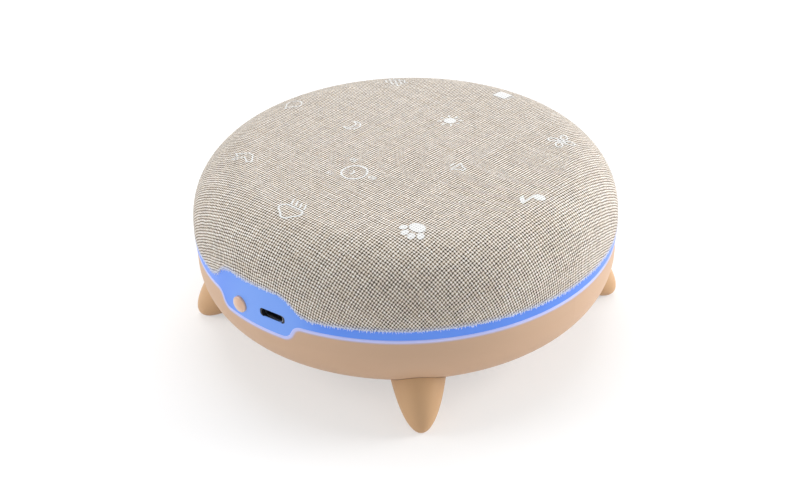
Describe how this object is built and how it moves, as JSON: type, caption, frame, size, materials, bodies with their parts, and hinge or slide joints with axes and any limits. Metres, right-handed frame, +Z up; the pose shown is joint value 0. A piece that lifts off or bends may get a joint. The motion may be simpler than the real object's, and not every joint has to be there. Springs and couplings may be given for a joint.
{
  "type": "white noise sound machine",
  "caption": "Round fabric-topped sound machine with touch marks, a glowing ring with a port panel, a peach shell and pointed splayed legs.",
  "frame": {"origin": "on the table under the centre of the round housing, level with the leg tips' flats", "axes": "+Z up along the housing's axis; -Y out of the port panel, midway between the two front legs; +X to the right seen from the panel"},
  "size_m": [0.156, 0.1569, 0.0685],
  "materials": {
    "fabric": "woven linen-look cloth",
    "dome_plastic": "matt",
    "diffuser": "satin translucent, lit",
    "shell_plastic": "matt",
    "leg_plastic": "matt",
    "button_plastic": "satin",
    "screw_steel": "zinc plated",
    "socket_steel": "dark nickel",
    "tongue_plastic": "matt black",
    "board": "solder mask",
    "chip": "moulded epoxy",
    "capacitor": "sleeved can",
    "connector": "natural nylon",
    "lamp": "clear over phosphor",
    "switch_plastic": "matt",
    "plunger_plastic": "matt",
    "film": "amber film",
    "copper": "bare copper",
    "battery_wrap": "laminated pouch",
    "foam": "closed-cell foam",
    "basket_steel": "black powder coat",
    "magnet": "sintered ferrite",
    "plate_steel": "zinc plated",
    "cone_paper": "pressed paper",
    "surround_rubber": "moulded rubber",
    "coil": "wound copper on a former",
    "lead": "insulated wire pair"
  },
  "bodies": {
    "housing": {"fabric_cover": "fabric", "top_shell": "dome_plastic", "light_ring": "diffuser", "base_shell": "shell_plastic", "leg_front_right": "leg_plastic", "leg_rear_right": "leg_plastic", "leg_rear_left": "leg_plastic", "leg_front_left": "leg_plastic", "housing_screws": "screw_steel", "leg_screws": "screw_steel", "speaker_gasket": "foam", "speaker_basket": "basket_steel", "speaker_top_plate": "plate_steel", "speaker_magnet": "magnet", "speaker_yoke": "plate_steel", "speaker_surround": "surround_rubber", "speaker_screws": "screw_steel", "speaker_terminal": "board", "touch_film": "film", "touch_pads": "copper", "touch_ribbon": "film", "main_board": "board", "board_screws": "screw_steel", "board_chips": "chip", "board_capacitors": "capacitor", "board_connectors": "connector", "battery_pad": "foam", "battery_pack": "battery_wrap", "led_board": "board", "leds": "lamp", "port_board": "board", "port_screws": "screw_steel", "button_switch": "switch_plastic", "usb_c_socket": "socket_steel", "usb_c_tongue": "tongue_plastic", "port_sleeve": "switch_plastic", "speaker_lead": "lead", "battery_lead": "lead", "light_lead": "lead", "port_lead": "lead"},
    "button": {"power_button": "button_plastic", "switch_plunger": "plunger_plastic"},
    "cone": {"speaker_cone": "cone_paper", "dust_cap": "cone_paper", "voice_coil": "coil"}
  },
  "joints": [
    {"name": "button_press", "type": "slide", "parent": "housing", "child": "button", "axis": [0, 1, 0], "range_m": [0, 0.0005], "stiffness_N_per_m": 800},
    {"name": "cone_travel", "type": "slide", "parent": "housing", "child": "cone", "axis": [0, 0, 1], "range_m": [-0.0008, 0.0008], "stiffness_N_per_m": 1000, "deforming": ["speaker_surround"]}
  ]
}
